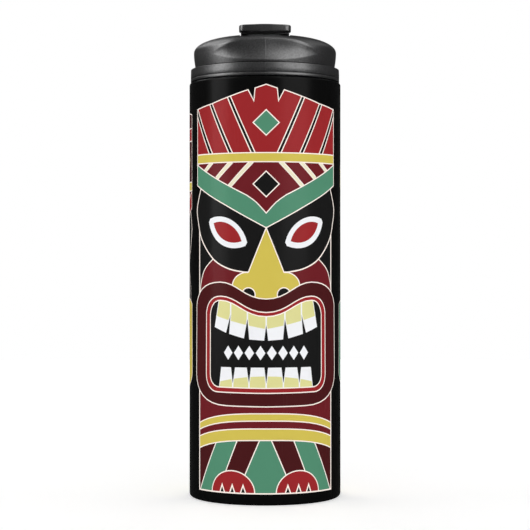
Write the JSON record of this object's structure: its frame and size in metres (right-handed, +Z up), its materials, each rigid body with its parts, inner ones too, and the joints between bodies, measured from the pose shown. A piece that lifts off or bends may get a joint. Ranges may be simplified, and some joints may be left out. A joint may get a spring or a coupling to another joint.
{
  "type": "vacuum travel tumbler",
  "caption": "Double-wall steel travel tumbler with an all-over carved-mask print, a press-in domed lid and a flip-up tab that stops the sip hole.",
  "frame": {"origin": "centre of the base, in the plane that the tumbler stands on", "axes": "+Z up along the tumbler's axis, the sip hole and the front of the print towards -Y, +X to the right seen from the front"},
  "size_m": [0.0724, 0.0724, 0.2225],
  "materials": {
    "printed_steel": "glossy printed wrap, black ground with red, green, yellow and cream figures",
    "bare_steel": "satin stainless steel",
    "sintered_metal": "dull sintered getter metal",
    "solder_glass": "dark solder glass",
    "black_plastic": "satin black moulded polypropylene",
    "pin_steel": "drawn steel wire",
    "grey_silicone": "matt silicone"
  },
  "bodies": {
    "tumbler": {"outer_shell": "printed_steel", "inner_liner": "bare_steel", "shell_bottom": "bare_steel", "base_cap": "bare_steel", "vacuum_getter": "sintered_metal", "vacuum_seal_bead": "solder_glass"},
    "seals": {"lower_plug_seal": "grey_silicone", "upper_plug_seal": "grey_silicone"},
    "lid": {"lid_collar": "black_plastic", "lid_dome": "black_plastic", "lid_plug": "black_plastic", "hinge_pin": "pin_steel"},
    "flip_tab": {"flip_lever": "black_plastic", "spout_stopper": "grey_silicone", "vent_seal": "grey_silicone"}
  },
  "joints": [
    {"name": "lid_pull", "type": "slide", "parent": "tumbler", "child": "seals", "axis": [0, 0, 1], "range_m": [0, 0.035]},
    {"name": "lid_turn", "type": "hinge", "parent": "seals", "child": "lid", "pos_m": [0, 0, 0.2], "axis": [0, 0, 1], "continuous": true},
    {"name": "flip_open", "type": "hinge", "parent": "lid", "child": "flip_tab", "pos_m": [0, 0.009, 0.2197], "axis": [-1, 0, 0], "range_deg": [0, 135]}
  ]
}
